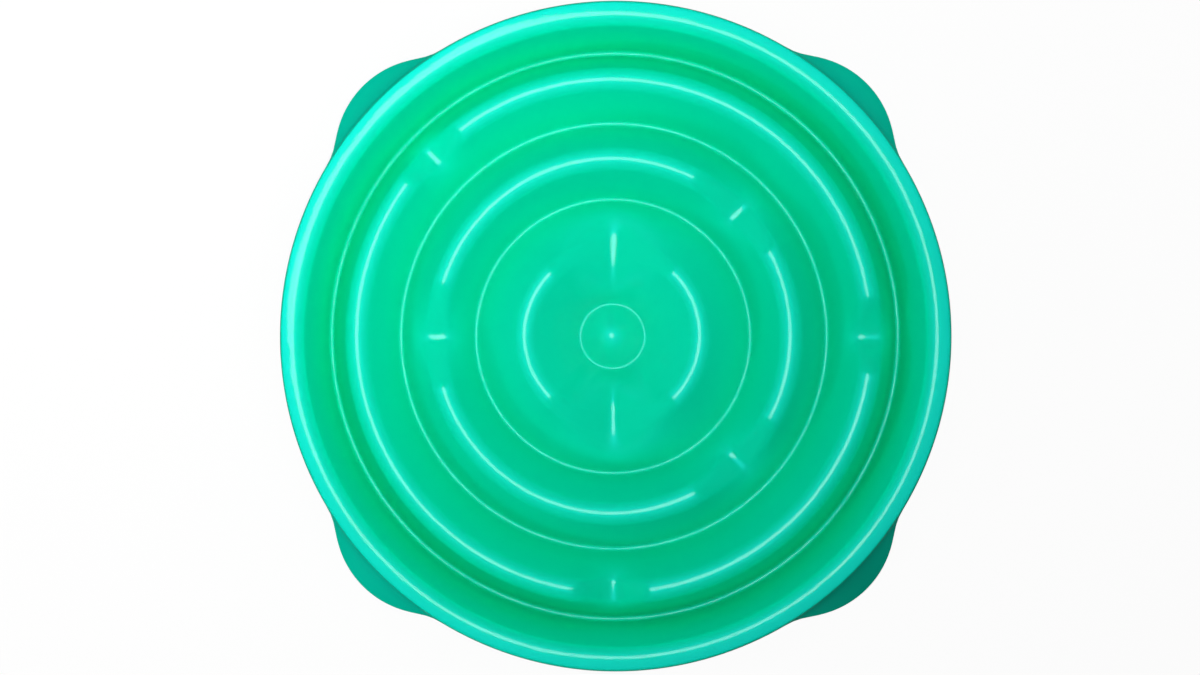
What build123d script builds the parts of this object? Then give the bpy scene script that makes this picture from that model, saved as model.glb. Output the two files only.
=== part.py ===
from build123d import *
import math
import os

os.makedirs("parts", exist_ok=True)

# Plastic wall, in millimetres like all lengths here
wall = 2.6
overrun = 5.0  # how far a cut runs past the face it opens

# Rippled tray: the steps from its middle outwards, crest to channel and channel to crest
centre_ring_radius = 14.0  # channel round the centre peak
inner_ridge_step = 23.0
inner_channel_step = 22.5
middle_ridge_step = 15.5
middle_channel_step = 17.5
outer_ridge_step = 16.0
outer_channel_step = 14.5
rim_crest_step = 11.3
lip_width = 4.7  # rim crest to the outer edge of the rim
ridge_height = 25.0  # ridge crests above the channel floors
ridge_drop = 9.0  # ridge crests below the rim
peak_height = 10.0  # centre peak above the channel floors

# Bends of the tray and the rim
rim_bend = 5.0
ridge_bend = 5.5
channel_bend = 3.0
peak_bend = 8.0
lip_bend = 20.0
lip_edge_bend = 0.9

# Gaps in the ridges, each given by its direction
outer_gap_half_width = 16.2
middle_gap_half_width = 22.3
inner_gap_half_width = 25.7
outer_gap_depth = 9.0
middle_gap_depth = 10.0
inner_gap_depth = 12.5
gap_shoulder_bend = 6.0
gap_floor_share = 0.9  # floor bend of a gap, as a share of the one that would leave no straight flank
gap_rise = 0.3  # gap shoulders start this far above the ridge crest
outer_gap_angles = (0, 135, 270)
middle_gap_angles = (45, 180, 315)
inner_gap_angles = (90, 270)

# Flared skirt, and the foot lobes that stand out of it on the diagonals
skirt_lift = 2.0  # lower edge of the skirt above the floor
skirt_flare = 10.0  # lower edge of the skirt outside the rim
foot_names = {
    45: "foot_rear_right",
    135: "foot_rear_left",
    225: "foot_front_left",
    315: "foot_front_right",
}
lobe_reach = 9.4  # lobes outside the lower edge of the skirt
lobe_radius = 43.0
lobe_top = 27.0
lobe_lean = math.radians(34)
lobe_blend = 8.0  # bend between a lobe and the skirt

# Rubber feet, pressed into bosses under the outer channel
pad_radius = 12.0
pad_height = 3.0
pad_edge_bend = 0.8
groove_radius = 7.5
groove_width = 1.6
groove_depth = 0.7
stem_radius = 3.95
stem_height = 7.0
stem_edge_bend = 0.8
fit_clearance = 0.05
stem_end_gap = 1.0  # room above the end of the stem
socket_cover = 5.0  # plastic from the end of a socket to the channel floor
boss_radius = 8.5
boss_rise = 5.0  # bosses run up past the channel floor to meet its flanks
rib_thickness = 2.0
rib_lift = 2.5  # ribs above the lower edge of the skirt

# Radii that follow from the steps
inner_ridge_radius = centre_ring_radius + inner_ridge_step
inner_channel_radius = inner_ridge_radius + inner_channel_step
middle_ridge_radius = inner_channel_radius + middle_ridge_step
middle_channel_radius = middle_ridge_radius + middle_channel_step
outer_ridge_radius = middle_channel_radius + outer_ridge_step
outer_channel_radius = outer_ridge_radius + outer_channel_step
rim_crest_radius = outer_channel_radius + rim_crest_step
rim_radius = rim_crest_radius + lip_width
base_radius = rim_radius + skirt_flare
lobe_centre = base_radius + lobe_reach - lobe_radius
foot_centre = outer_channel_radius
socket_radius = stem_radius + fit_clearance

# Heights that follow from the sizes above
socket_top = pad_height + stem_height + stem_end_gap
channel_z = socket_top + socket_cover
ridge_z = channel_z + ridge_height
height = ridge_z + ridge_drop
lip_z = height - lip_bend + math.sqrt(lip_bend**2 - lip_width**2)
skirt_lean = math.atan2(skirt_flare, lip_z - skirt_lift)


def on_circle(centre, radius, angle):
    """Point on a circle in the section plane."""
    return centre + Vector(math.cos(angle), math.sin(angle)) * radius


def crest(radius, top, bend):
    """Rounded crest of the tray: centre, bend and kind."""
    return Vector(radius, top - bend), bend, True


def channel(radius, bottom, bend):
    """Rounded channel of the tray: centre, bend and kind."""
    return Vector(radius, bottom + bend), bend, False


def flank_angle(first, second):
    """Direction from a crest's centre to the straight flank it shares with its neighbour."""
    high, low = (first, second) if first[2] else (second, first)
    step = low[0] - high[0]
    turn = math.acos((high[1] + low[1]) / step.length)
    side = 1 if first[2] else -1
    return math.atan2(step.Y, step.X) + side * turn


def ripple(bends, inset):
    """Smooth run of arcs and flanks through the bends, sunk into the wall by the inset."""
    upright = math.pi / 2
    flanks = [flank_angle(a, b) for a, b in zip(bends, bends[1:])]
    edges = []
    last_point = None
    for number, (centre, bend, is_crest) in enumerate(bends):
        turned = 0 if is_crest else math.pi
        start = flanks[number - 1] + turned if number else upright
        end = flanks[number] + turned if number < len(flanks) else upright
        start = start % math.tau
        end = end % math.tau
        radius = bend - inset if is_crest else bend + inset
        points = [on_circle(centre, radius, angle) for angle in (start, (start + end) / 2, end)]
        if last_point is not None:
            edges.append(Line(last_point, points[0]))
        edges.append(ThreePointArc(*points))
        last_point = points[-1]
    return edges


def tray_bends():
    """Crests and channels of the tray from its middle to the rim."""
    return [
        crest(0, channel_z + peak_height, peak_bend),
        channel(centre_ring_radius, channel_z, channel_bend),
        crest(inner_ridge_radius, ridge_z, ridge_bend),
        channel(inner_channel_radius, channel_z, channel_bend),
        crest(middle_ridge_radius, ridge_z, ridge_bend),
        channel(middle_channel_radius, channel_z, channel_bend),
        crest(outer_ridge_radius, ridge_z, ridge_bend),
        channel(outer_channel_radius, channel_z, channel_bend),
        crest(rim_crest_radius, height, rim_bend),
    ]


def close_over(edges, corners):
    """Face bounded by a run of edges and straight lines through the corners."""
    start = edges[0] @ 0
    end = edges[-1] @ 1
    return make_face(Curve() + edges + Polyline(end, *corners, start))


def tray_void():
    """Space above the tray."""
    top = height + overrun
    face = close_over(ripple(tray_bends(), 0), [(rim_crest_radius, top), (0, top)])
    return revolve(Plane.XZ * face, Axis.Z)


def tray_block():
    """Everything above the underside of the tray and the rim."""
    edges = ripple(tray_bends(), wall)
    lip_centre = Vector(rim_crest_radius, height - lip_bend)
    edge_angle = math.acos(lip_width / (lip_bend - wall))
    angles = (math.pi / 2, (math.pi / 2 + edge_angle) / 2, edge_angle)
    edges.append(ThreePointArc(*[on_circle(lip_centre, lip_bend - wall, angle) for angle in angles]))
    far = rim_radius + overrun
    top = height + overrun
    face = close_over(edges, [(far, (edges[-1] @ 1).Y), (far, top), (0, top)])
    return revolve(Plane.XZ * face, Axis.Z)


def gap_prism(inner_end, outer_end, half_width, depth, inset):
    """Rounded gap across one ridge, in the direction of the X axis."""
    top = ridge_z + gap_rise
    drop = depth + gap_rise
    both_bends = (half_width**2 + drop**2) / (2 * drop)
    floor_bend = gap_floor_share * (both_bends - gap_shoulder_bend)
    bends = [
        crest(-half_width, top, gap_shoulder_bend),
        channel(0, ridge_z - depth, floor_bend),
        crest(half_width, top, gap_shoulder_bend),
    ]
    lid = height + overrun
    face = close_over(ripple(bends, inset), [(half_width, lid), (-half_width, lid)])
    return extrude(Plane.YZ.offset(inner_end) * face, outer_end - inner_end)


def ridge_gaps(inset):
    """All gaps in the three ridges."""
    ridges = (
        (middle_channel_radius, outer_channel_radius, outer_gap_half_width, outer_gap_depth),
        (inner_channel_radius, middle_channel_radius, middle_gap_half_width, middle_gap_depth),
        (centre_ring_radius, inner_channel_radius, inner_gap_half_width, inner_gap_depth),
    )
    gaps = []
    for sizes, angles in zip(ridges, (outer_gap_angles, middle_gap_angles, inner_gap_angles)):
        prism = gap_prism(*sizes, inset)
        gaps += [Rot(0, 0, angle) * prism for angle in angles]
    return gaps


def at_lobes(part, distance):
    """Copies of a part set out at the same distance on the four diagonals."""
    return [Rot(0, 0, angle) * Pos(distance, 0, 0) * part for angle in foot_names]


def standing(shape, bottom, *sizes):
    """Round solid about the Z axis, standing at a height."""
    return Pos(0, 0, bottom) * shape(*sizes, align=(Align.CENTER, Align.CENTER, Align.MIN))


def skirt_body(inset, bottom, top):
    """Solid cone inside the skirt, sunk by the inset."""
    sunk = inset / math.cos(skirt_lean)
    low = base_radius - sunk - (bottom - skirt_lift) * math.tan(skirt_lean)
    high = base_radius - sunk - (top - skirt_lift) * math.tan(skirt_lean)
    return standing(Cone, bottom, low, high, top - bottom)


def lobe_body(inset, bottom, top):
    """Solid cone of one foot lobe, sunk by the inset."""
    sunk = inset / math.cos(lobe_lean)
    low = lobe_radius - sunk - (bottom - skirt_lift) * math.tan(lobe_lean)
    high = lobe_radius - sunk - (top - skirt_lift) * math.tan(lobe_lean)
    return standing(Cone, bottom, low, high, top - bottom)


def outer_form():
    """Full outside shape: skirt, rounded rim edge and foot lobes."""
    lip_centre = Vector(rim_crest_radius, height - lip_bend)
    edge_angle = math.acos(lip_width / lip_bend)
    angles = (math.pi / 2, (math.pi / 2 + edge_angle) / 2, edge_angle)
    lip = ThreePointArc(*[on_circle(lip_centre, lip_bend, angle) for angle in angles])
    face = close_over([lip], [(base_radius, skirt_lift), (0, skirt_lift), (0, height)])
    form = revolve(Plane.XZ * face, Axis.Z)
    circles = form.edges().filter_by(GeomType.CIRCLE)
    form = fillet(circles.sort_by(lambda edge: abs(edge.center().Z - lip_z))[0], lip_edge_bend)
    for lobe in at_lobes(lobe_body(0, skirt_lift, lobe_top), lobe_centre):
        form += lobe
    seams = form.edges().filter_by(GeomType.BSPLINE)
    return fillet(seams.filter_by(lambda edge: edge.center().Z < lobe_top), lobe_blend)


def foot_boss():
    """Post that carries one rubber foot."""
    return standing(Cylinder, pad_height, boss_radius, channel_z + boss_rise - pad_height)


def foot_ribs():
    """One outward rib and one rib along the channel, meeting at the boss."""
    bottom = skirt_lift + rib_lift
    rib_height = channel_z - wall / 2 - bottom
    across = 2 * lobe_radius
    outward = Box(across, rib_thickness, rib_height, align=(Align.MIN, Align.CENTER, Align.MIN))
    along = Box(rib_thickness, 2 * across, rib_height, align=(Align.CENTER, Align.CENTER, Align.MIN))
    return Pos(0, 0, bottom) * (outward + along)


def foot_socket():
    """Blind hole for the stem of one rubber foot."""
    return standing(Cylinder, pad_height, socket_radius, socket_top - pad_height)


def underside_hollow():
    """Space under the tray, less the bosses and ribs that stand in it."""
    hollow = skirt_body(wall, skirt_lift - overrun, height)
    lobes = at_lobes(lobe_body(wall, skirt_lift - overrun, lobe_top - wall), lobe_centre)
    for lobe in lobes:
        hollow += lobe
    hollow -= tray_block()
    for block in ridge_gaps(wall):
        hollow -= block
    lobe_room = lobe_body(0, skirt_lift - overrun, lobe_top)
    ribs = Pos(lobe_centre, 0, 0) * lobe_room & Pos(foot_centre, 0, 0) * foot_ribs()
    for rib in at_lobes(ribs, 0):
        hollow -= rib
    for boss in at_lobes(foot_boss(), foot_centre):
        hollow -= boss
    return hollow


def bowl_shell():
    """The whole moulding."""
    shell = outer_form() - tray_void()
    for gap in ridge_gaps(0):
        shell -= gap
    shell -= underside_hollow()
    for socket in at_lobes(foot_socket(), foot_centre):
        shell -= socket
    return shell


def rubber_foot():
    """Round rubber pad with a grip groove below and a stem above."""
    pad = standing(Cylinder, 0, pad_radius, pad_height)
    pad = fillet(pad.edges().group_by(Axis.Z)[0], pad_edge_bend)
    groove = standing(Cylinder, 0, groove_radius + groove_width / 2, groove_depth)
    groove -= standing(Cylinder, 0, groove_radius - groove_width / 2, groove_depth)
    stem = standing(Cylinder, pad_height, stem_radius, stem_height)
    stem = chamfer(stem.edges().group_by(Axis.Z)[-1], stem_edge_bend)
    return pad - groove + stem


def write_part(part, name):
    """Save one piece under its own name."""
    part.label = name
    export_step(part, f"parts/{name}.step")


write_part(bowl_shell(), "bowl_shell")
for foot_angle, foot_name in foot_names.items():
    write_part(Rot(0, 0, foot_angle) * Pos(foot_centre, 0, 0) * rubber_foot(), foot_name)
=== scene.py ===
import math
from typing import NamedTuple

import bmesh
import bpy
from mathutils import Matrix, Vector


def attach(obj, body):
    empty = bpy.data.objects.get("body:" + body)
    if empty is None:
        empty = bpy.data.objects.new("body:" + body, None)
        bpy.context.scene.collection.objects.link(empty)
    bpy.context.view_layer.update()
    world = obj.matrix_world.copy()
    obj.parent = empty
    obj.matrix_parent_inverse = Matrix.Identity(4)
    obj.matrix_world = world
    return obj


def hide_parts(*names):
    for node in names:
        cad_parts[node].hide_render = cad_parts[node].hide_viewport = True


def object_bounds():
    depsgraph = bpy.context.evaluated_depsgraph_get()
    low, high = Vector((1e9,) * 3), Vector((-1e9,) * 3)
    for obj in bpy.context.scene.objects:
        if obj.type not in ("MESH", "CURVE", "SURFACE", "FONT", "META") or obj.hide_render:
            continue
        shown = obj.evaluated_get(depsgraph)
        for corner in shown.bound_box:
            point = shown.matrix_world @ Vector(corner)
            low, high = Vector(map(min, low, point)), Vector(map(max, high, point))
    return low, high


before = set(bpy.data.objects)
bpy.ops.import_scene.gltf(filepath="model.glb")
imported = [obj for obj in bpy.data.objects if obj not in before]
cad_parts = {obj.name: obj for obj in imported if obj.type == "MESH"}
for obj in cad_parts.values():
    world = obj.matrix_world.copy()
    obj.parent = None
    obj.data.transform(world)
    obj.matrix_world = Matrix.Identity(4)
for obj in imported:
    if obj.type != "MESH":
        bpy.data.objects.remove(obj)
CAD_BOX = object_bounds()

bl_info = {
    "name": "Slow Feeder Bowl",
    "version": (1, 0, 0),
    "blender": (4, 5, 0),
    "location": "3D View > Sidebar > Feeder",
    "description": "Moulds a rippled feeder bowl, presses in its rubber feet and sets a studio",
    "category": "Add Mesh",
}

FOOT_ANGLES = {
    "foot_rear_right": 45.0,
    "foot_rear_left": 135.0,
    "foot_front_left": 225.0,
    "foot_front_right": 315.0,
}
OUTER_GAP_ANGLES = (0.0, 135.0, 270.0)
MIDDLE_GAP_ANGLES = (45.0, 180.0, 315.0)
INNER_GAP_ANGLES = (90.0, 270.0)
RIDGES = {"Outer": OUTER_GAP_ANGLES, "Middle": MIDDLE_GAP_ANGLES, "Inner": INNER_GAP_ANGLES}
RIDGE_SIZES = (
    "Gap Half Width",
    "Gap Floor",
    "Gap Flank Angle",
    "Gap Flatness",
    "Gap Start",
    "Gap End",
    "Ridge Radius",
)

# Steps of the tray's section on each crest, channel and flank
TOP_STEPS = (12, 8, 8)
BELOW_STEPS = (5, 6, 4)

# Steps of the other bends and runs
LIP_STEPS = 6
LIP_EDGE_STEPS = 5
INNER_LIP_STEPS = 4
FOOT_EDGE_STEPS = 4
SKIRT_STEPS = 14
INNER_SKIRT_STEPS = 8
BOSS_STEPS = 48
PAD_EDGE_STEPS = 6
STUD_SUBDIVISIONS = 2

# Directions at which the points on a ring gather
CROWDED_DIRECTIONS = 8.0

# Rounds that settle the bend between the rim and the skirt
EDGE_ROUNDS = 20

# Radius left open in the middle of a post
BOSS_CORE = 0.0004

# Points closer than this are one
MERGE_DISTANCE = 1e-6

# Direction in degrees and place of each set of scratches, and their scale per metre
SCRATCH_SETS = ((12.0, 0.0), (78.0, 3.1), (141.0, 7.7))
SCRATCH_SCALE = (30.0, 1500.0, 300.0)

WHITE = (1.0, 1.0, 1.0, 1.0)
BLACK = (0.0, 0.0, 0.0, 1.0)
PHOTO_WIDTH = 1200
SENSOR_WIDTH = 36.0


class Lamp(NamedTuple):
    """Square lamp: place, target and side in metres, power in watts, beam in degrees."""

    place: tuple
    target: tuple
    side: float
    power: float
    beam: float = 180.0


BOWL_MIDDLE = (0.0, 0.0, 0.03)
UPPER_LEFT = (-0.3, 0.3, 0.0)
SOFT_LAMPS = {
    "rear_left_panel": Lamp((-0.15, 0.15, 0.75), UPPER_LEFT, 0.4, 0.90, 85.0),
    "front_right_panel": Lamp((0.1, -0.1, 0.75), UPPER_LEFT, 0.4, 0.42, 75.0),
    "rear_lamp": Lamp((0.1, 0.35, 0.95), BOWL_MIDDLE, 0.2, 0.54),
    "right_lamp": Lamp((0.3, 0.2, 0.95), BOWL_MIDDLE, 0.1, 0.12),
    "low_lamp": Lamp((-0.70, -0.48, 0.53), BOWL_MIDDLE, 0.1, 0.90),
}
SHINE_LAMP = Lamp((-0.2, 0.16, 2.0), (-0.04, 0.04, 0.0), 0.9, 9.0, 100.0)
CARD_PLACE = (0.21, -0.21, 0.0)


def length(name, description, default):
    """A size in metres for a property group."""
    return bpy.props.FloatProperty(
        name=name, description=description, default=default, precision=4, subtype="DISTANCE", unit="LENGTH"
    )


def share(name, description, default):
    """A plain factor for a property group."""
    return bpy.props.FloatProperty(name=name, description=description, default=default, precision=3)


def turn(name, description, degrees):
    """An angle for a property group."""
    return bpy.props.FloatProperty(
        name=name, description=description, default=math.radians(degrees), subtype="ANGLE", unit="ROTATION"
    )


def count(name, description, default):
    """A whole number for a property group."""
    return bpy.props.IntProperty(name=name, description=description, default=default, min=1)


def colour(name, description, default):
    """A linear colour for a property group."""
    return bpy.props.FloatVectorProperty(
        name=name, description=description, default=default, size=3, min=0.0, max=1.0, subtype="COLOR"
    )


class BowlSizes(bpy.types.PropertyGroup):
    """Sizes of the moulded bowl"""

    base_radius: length("Base Radius", "Lower edge of the flared skirt", CAD_BOX[1][0])
    rim_radius: length("Rim Radius", "Outer edge of the rim", 0.139)
    height: length("Height", "Floor to the top of the rim", CAD_BOX[1][2])
    skirt_lift: length("Skirt Lift", "Lower edge of the skirt above the floor", 0.002)
    wall: length("Wall", "Thickness of the plastic", 0.0026)
    rim_crest_radius: length("Rim Crest Radius", "Highest line of the rim", 0.1343)
    outer_channel_radius: length("Outer Channel Radius", "Channel next to the wall", 0.123)
    outer_ridge_radius: length("Outer Ridge Radius", "Crest of the outer ridge", 0.1085)
    middle_channel_radius: length("Middle Channel Radius", "Channel inside the outer ridge", 0.0925)
    middle_ridge_radius: length("Middle Ridge Radius", "Crest of the middle ridge", 0.075)
    inner_channel_radius: length("Inner Channel Radius", "Channel inside the middle ridge", 0.0595)
    inner_ridge_radius: length("Inner Ridge Radius", "Crest of the inner ridge", 0.037)
    centre_ring_radius: length("Centre Ring Radius", "Channel round the centre peak", 0.014)
    ridge_drop: length("Ridge Drop", "Ridge crests below the rim", 0.009)
    ridge_height: length("Ridge Height", "Ridge crests above the channels", 0.025)
    peak_height: length("Peak Height", "Centre peak above the channels", 0.010)
    rim_bend: length("Rim Bend", "Inner bend of the rim", 0.005)
    ridge_bend: length("Ridge Bend", "Bend of the ridge crests", 0.0055)
    channel_bend: length("Channel Bend", "Bend of the channel floors", 0.0012)
    peak_bend: length("Peak Bend", "Bend of the centre peak", 0.008)
    lip_bend: length("Lip Bend", "Outer bend of the rim", 0.032)
    lip_edge_bend: length("Lip Edge Bend", "Bend of the rim's outer edge", 0.0009)
    foot_edge_bend: length("Foot Edge Bend", "Bend of the skirt's lower edge", 0.0008)
    outer_gap_half_width: length("Outer Gap Half Width", "Half the gap in the outer ridge", 0.0162)
    middle_gap_half_width: length("Middle Gap Half Width", "Half the gap in the middle ridge", 0.0223)
    inner_gap_half_width: length("Inner Gap Half Width", "Half the gap in the inner ridge", 0.0268)
    outer_gap_depth: length("Outer Gap Depth", "Gaps below the crest of the outer ridge", 0.009)
    middle_gap_depth: length("Middle Gap Depth", "Gaps below the crest of the middle ridge", 0.010)
    inner_gap_depth: length("Inner Gap Depth", "Gaps below the crest of the inner ridge", 0.0125)
    gap_shoulder_bend: length("Gap Shoulder Bend", "Bend where a gap starts", 0.006)
    gap_floor_bend: length("Gap Floor Bend", "Bend at the bottom of a gap", 0.0085)
    outer_gap_flatness: share("Outer Gap Flatness", "Flatness of the saddles in the outer ridge", 0.7)
    middle_gap_flatness: share("Middle Gap Flatness", "Flatness of the saddles in the middle ridge", 0.7)
    inner_gap_flatness: share("Inner Gap Flatness", "Flatness of the saddles in the inner ridge", 1.9)
    lobe_centre: length("Lobe Centre", "Middle of a foot lobe from the bowl's axis", 0.1154)
    lobe_radius: length("Lobe Radius", "Radius of a foot lobe at its lower edge", 0.043)
    lobe_lean: turn("Lobe Lean", "Slope of a foot lobe from upright", 34.0)
    lobe_blend: length("Lobe Blend", "Softness of the line between a lobe and the skirt", 0.006)
    boss_radius: length("Boss Radius", "Post that carries a rubber foot", 0.0085)
    boss_top: length("Boss Top", "Height of the post's upper end", 0.021)
    socket_radius: length("Socket Radius", "Hole for a foot's stem", 0.004)
    socket_depth: length("Socket Depth", "Depth of that hole", 0.008)
    rib_thickness: length("Rib Thickness", "Stiffening ribs of a post", 0.002)
    rib_bottom: length("Rib Bottom", "Lower edge of the ribs", 0.0045)
    rib_top: length("Rib Top", "Upper edge of the ribs", 0.015)
    steps_around: count("Steps Around", "Points on each ring of the mesh", 336)
    step_crowding: share("Step Crowding", "How much the points gather at the gaps and lobes", 0.6)


class FootSizes(bpy.types.PropertyGroup):
    """Sizes of the rubber feet"""

    pad_radius: length("Pad Radius", "Radius of the round pad", 0.012)
    pad_height: length("Pad Height", "Thickness of the pad", 0.003)
    pad_edge_bend: length("Pad Edge Bend", "Bend of the pad's lower edge", 0.0008)
    groove_radius: length("Groove Radius", "Middle of the grip groove", 0.0075)
    groove_width: length("Groove Width", "Width of the grip groove", 0.0016)
    groove_depth: length("Groove Depth", "Depth of the grip groove", 0.0007)
    stem_height: length("Stem Height", "Length of the stem", 0.007)
    stem_bend: length("Stem Bend", "Bend of the stem's end", 0.0008)
    fit_clearance: length("Fit Clearance", "Gap between the stem and its socket", 0.00005)
    stud_radius: length("Stud Radius", "Radius of the small grip studs", 0.0005)
    stud_count: count("Stud Count", "Grip studs in the groove", 24)
    steps_around: count("Steps Around", "Points on each ring of the mesh", 72)


class Finishes(bpy.types.PropertyGroup):
    """Colours, gloss and grain of the plastic and the rubber"""

    # Painted shade: the inside colour is less blue than the skirt colour, standing in for the green bounce
    # light inside the bowl
    plastic: colour("Plastic", "Colour of the bowl", (0.0, 0.75, 0.437))
    # Painted light: the lighter flank colour stands in for light on steep flanks, not a colour of the plastic
    flank_painted_light: colour("Flank Plastic", "Its lighter colour on steep flanks", (0.0, 0.89, 0.535))
    skirt_plastic: colour("Skirt Plastic", "Colour of the outside below the rim", (0.0, 0.74, 0.50))
    sheen_tint: colour("Sheen Tint", "Colour of the broad sheen", (0.03, 0.68, 1.0))
    sheen: share("Sheen", "Strength of the broad sheen", 0.7)
    turning: share("Turning", "Stretch of the sheen across the turned rings of the mould", 1.0)
    plastic_roughness: share("Plastic Roughness", "Softness of the broad sheen", 0.30)
    polish: share("Polish", "Strength of the sharp gloss", 0.28)
    polish_roughness: share("Polish Roughness", "Softness of the sharp gloss", 0.07)
    outside_gloss: share("Outside Gloss", "Gloss of the matt outside, against the inside", 0.01)
    refraction: share("Refraction", "Refractive index of the plastic", 1.49)
    flow_scale: share("Flow Scale", "Flow bands per metre", 900.0)
    cloud_scale: share("Cloud Scale", "Cloudy patches per metre", 28.0)
    wave_scale: share("Wave Scale", "Moulding waves per metre", 120.0)
    grain_scale: share("Grain Scale", "Grains per metre", 2600.0)
    relief: length("Relief", "Height of the fine relief", 0.0002)
    relief_strength: share("Relief Strength", "Strength of the fine relief", 0.5)
    rubber: colour("Rubber", "Colour of the feet", (0.022, 0.024, 0.025))
    pore_scale: share("Pore Scale", "Pores of the rubber per metre", 2200.0)
    bloom_scale: share("Bloom Scale", "Dusty patches of the rubber per metre", 160.0)


class StudioSetup(bpy.types.PropertyGroup):
    """Camera and light"""

    camera_height: length("Camera Height", "Camera above the floor", 0.735)
    camera_tilt: turn("Camera Tilt", "Turn of the camera about the picture's upright", 2.8)
    rim_pixels: share("Rim Pixels", "Radius of the rim in the picture", 334.4)
    aside_pixels: share("Aside Pixels", "Bowl's centre to the right of the picture's middle", 12.4)
    above_pixels: share("Above Pixels", "Bowl's centre above the picture's middle", 1.39)
    floor_side: length("Floor Side", "Half the side of the floor", 12.0)
    floor_tone: share("Floor Tone", "Lightness of the floor as it lights the bowl", 0.05)
    floor_white: share("Floor White", "Plain white in the floor that the camera sees", 0.95)
    card_width: length("Card Width", "Width of the dark card", 0.5)
    card_height: length("Card Height", "Height of the dark card", 0.2)
    sky: share("Sky", "Even light from all round", 0.49)
    gloss_sky: share("Gloss Sky", "Share of that light which shows in the gloss", 0.1)


class Field:
    """A number that runs through a node tree, so that a formula reads as one."""

    def __init__(self, tree, socket):
        self.tree = tree
        self.socket = socket

    def run(self, operation, *others):
        """Result of a math node on this number and the others."""
        node = self.tree.nodes.new("ShaderNodeMath")
        node.operation = operation
        for place, value in zip(node.inputs, (self, *others)):
            feed(self.tree, place, value)
        return Field(self.tree, node.outputs[0])

    def __add__(self, other):
        return self.run("ADD", other)

    def __sub__(self, other):
        return self.run("SUBTRACT", other)

    def __mul__(self, other):
        return self.run("MULTIPLY", other)

    def __truediv__(self, other):
        return self.run("DIVIDE", other)

    def squared(self):
        """This number times itself."""
        return self * self

    def root(self):
        """Square root, with nothing below zero."""
        return self.run("MAXIMUM", 0.0).run("SQRT")


def feed(tree, socket, value):
    """Link a socket to a field or an output, or set it to a constant."""
    if isinstance(value, Field):
        value = value.socket
    if isinstance(value, bpy.types.NodeSocket):
        tree.links.new(value, socket)
    else:
        socket.default_value = value


def add_node(tree, kind, inputs=(), **settings):
    """New node with its settings, and its inputs by name or number."""
    node = tree.nodes.new(kind)
    for key, value in settings.items():
        setattr(node, key, value)
    for key, value in dict(inputs).items():
        feed(tree, node.inputs[key], value)
    return node


def new_tree(name, inputs):
    """Geometry tree with named inputs, its group input node and its output."""
    tree = bpy.data.node_groups.new(name, "GeometryNodeTree")
    for label, kind in inputs.items():
        tree.interface.new_socket(name=label, in_out="INPUT", socket_type="NodeSocket" + kind)
    tree.interface.new_socket(name="Geometry", in_out="OUTPUT", socket_type="NodeSocketGeometry")
    return tree, tree.nodes.new("NodeGroupInput"), tree.nodes.new("NodeGroupOutput")


def grow(name, tree, values):
    """Mesh object made by a geometry tree, with the tree taken off again."""
    grower = bpy.data.objects.new(name + "_grower", bpy.data.meshes.new(name + "_seed"))
    bpy.context.scene.collection.objects.link(grower)
    modifier = grower.modifiers.new("Shape", "NODES")
    modifier.node_group = tree
    for item in tree.interface.items_tree:
        if item.item_type == "SOCKET" and item.in_out == "INPUT":
            modifier[item.identifier] = values[item.name]
    bpy.context.view_layer.update()
    grown = grower.evaluated_get(bpy.context.evaluated_depsgraph_get())
    mesh = bpy.data.meshes.new_from_object(grown)
    mesh.name = name
    grower.modifiers.remove(modifier)
    bpy.data.objects.remove(grower)
    piece = bpy.data.objects.new(name, mesh)
    bpy.context.scene.collection.objects.link(piece)
    return piece


def section_object(name, rows):
    """Points of a section for a tree to spin; each row is radius, height, then its marks."""
    mesh = bpy.data.meshes.new(name)
    mesh.from_pydata([(row[0], 0.0, row[1]) for row in rows], [], [])
    for place, mark in enumerate(("skirt", "inset"), start=2):
        layer = mesh.attributes.new(mark, "FLOAT", "POINT")
        layer.data.foreach_set("value", [row[place] if len(row) > place else 0.0 for row in rows])
    section = bpy.data.objects.new(name, mesh)
    bpy.context.scene.collection.objects.link(section)
    return section


def arc(centre, radius, start, end, steps):
    """Points along an arc of a section, both ends included."""
    angles = [start + (end - start) * number / steps for number in range(steps + 1)]
    return [(centre[0] + radius * math.cos(a), centre[1] + radius * math.sin(a)) for a in angles]


def line(start, end, steps):
    """Points along a straight run of a section, without its ends."""
    parts = [number / steps for number in range(1, steps)]
    return [tuple(a + (b - a) * part for a, b in zip(start, end)) for part in parts]


def crest(radius, top, bend):
    """Rounded crest: centre, bend and kind."""
    return (radius, top - bend), bend, True


def channel(radius, bottom, bend):
    """Rounded channel: centre, bend and kind."""
    return (radius, bottom + bend), bend, False


def flank_angle(first, second):
    """Direction from a crest's centre to the straight flank it shares with its neighbour."""
    high, low = (first, second) if first[2] else (second, first)
    across = low[0][0] - high[0][0]
    down = low[0][1] - high[0][1]
    lean = math.acos((high[1] + low[1]) / math.hypot(across, down))
    return math.atan2(down, across) + (lean if first[2] else -lean)


def ripple(bends, inset, crest_steps, channel_steps, flank_steps):
    """Points of a smooth run of arcs and flanks through the bends, sunk by the inset."""
    flanks = [flank_angle(a, b) for a, b in zip(bends, bends[1:])]
    points = []
    for number, (centre, bend, is_crest) in enumerate(bends):
        turned = 0.0 if is_crest else math.pi
        start = flanks[number - 1] + turned if number else math.pi / 2
        end = flanks[number] + turned if number < len(flanks) else math.pi / 2
        radius = bend - inset if is_crest else bend + inset
        steps = crest_steps if is_crest else channel_steps
        run = arc(centre, radius, start % math.tau, end % math.tau, steps)
        if points:
            points += line(points[-1], run[0], flank_steps)
        points += run
    return points


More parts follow.
